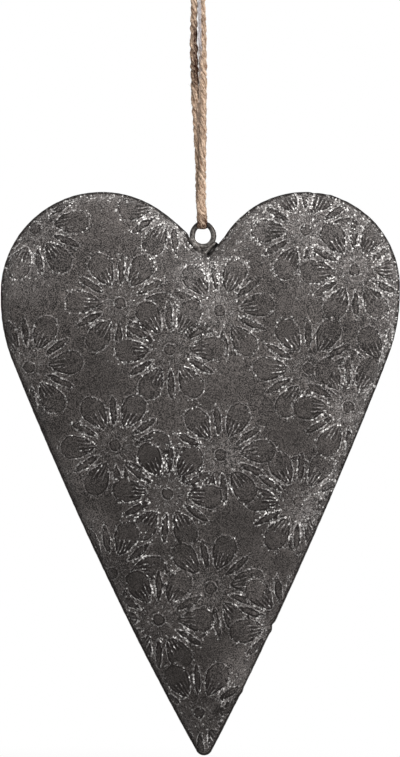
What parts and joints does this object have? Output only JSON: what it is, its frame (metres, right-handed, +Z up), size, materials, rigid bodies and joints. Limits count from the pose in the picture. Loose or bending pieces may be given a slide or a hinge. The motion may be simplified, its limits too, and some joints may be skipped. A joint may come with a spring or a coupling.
{
  "type": "hanging metal heart",
  "caption": "Hollow heart of pressed tin sheet, embossed with daisies, with a wire eye in its notch, hung from a doubled and knotted jute twine.",
  "frame": {"origin": "middle of the twine's knot, where a nail or hook holds the loop", "axes": "+Z up along the hanging twine, +X to the right seen from the front, +Y from the front shell towards the back shell"},
  "size_m": [0.1516, 0.0178, 0.3041],
  "materials": {
    "shell_tin": "dark antique patina on tin plate, rubbed back to bare metal on the raised lines and edges",
    "solder": "dull, slightly lumpy, darkened",
    "eye_wire": "dull dark drawn wire",
    "jute": "twisted plies with stray fibres"
  },
  "bodies": {
    "knot": {"twine_knot": "jute"},
    "twine": {"twine_leg_right": "jute", "twine_leg_left": "jute"},
    "bight": {"twine_bight": "jute"},
    "heart": {"front_shell": "shell_tin", "back_shell": "shell_tin", "seam_solder": "solder", "eye_ring": "eye_wire", "eye_solder": "solder"}
  },
  "joints": [
    {"name": "twine_swing", "type": "hinge", "parent": "knot", "child": "twine", "pos_m": [0, 0, 0], "axis": [0, 1, 0], "range_deg": [-35, 35]},
    {"name": "heart_twist", "type": "hinge", "parent": "twine", "child": "bight", "pos_m": [0.00186, 0, -0.09036], "axis": [0, 0, 1], "range_deg": [-170, 170]},
    {"name": "heart_rock", "type": "hinge", "parent": "bight", "child": "heart", "pos_m": [0.00186, 0, -0.09036], "axis": [1, 0, 0], "range_deg": [-90, 90]}
  ]
}
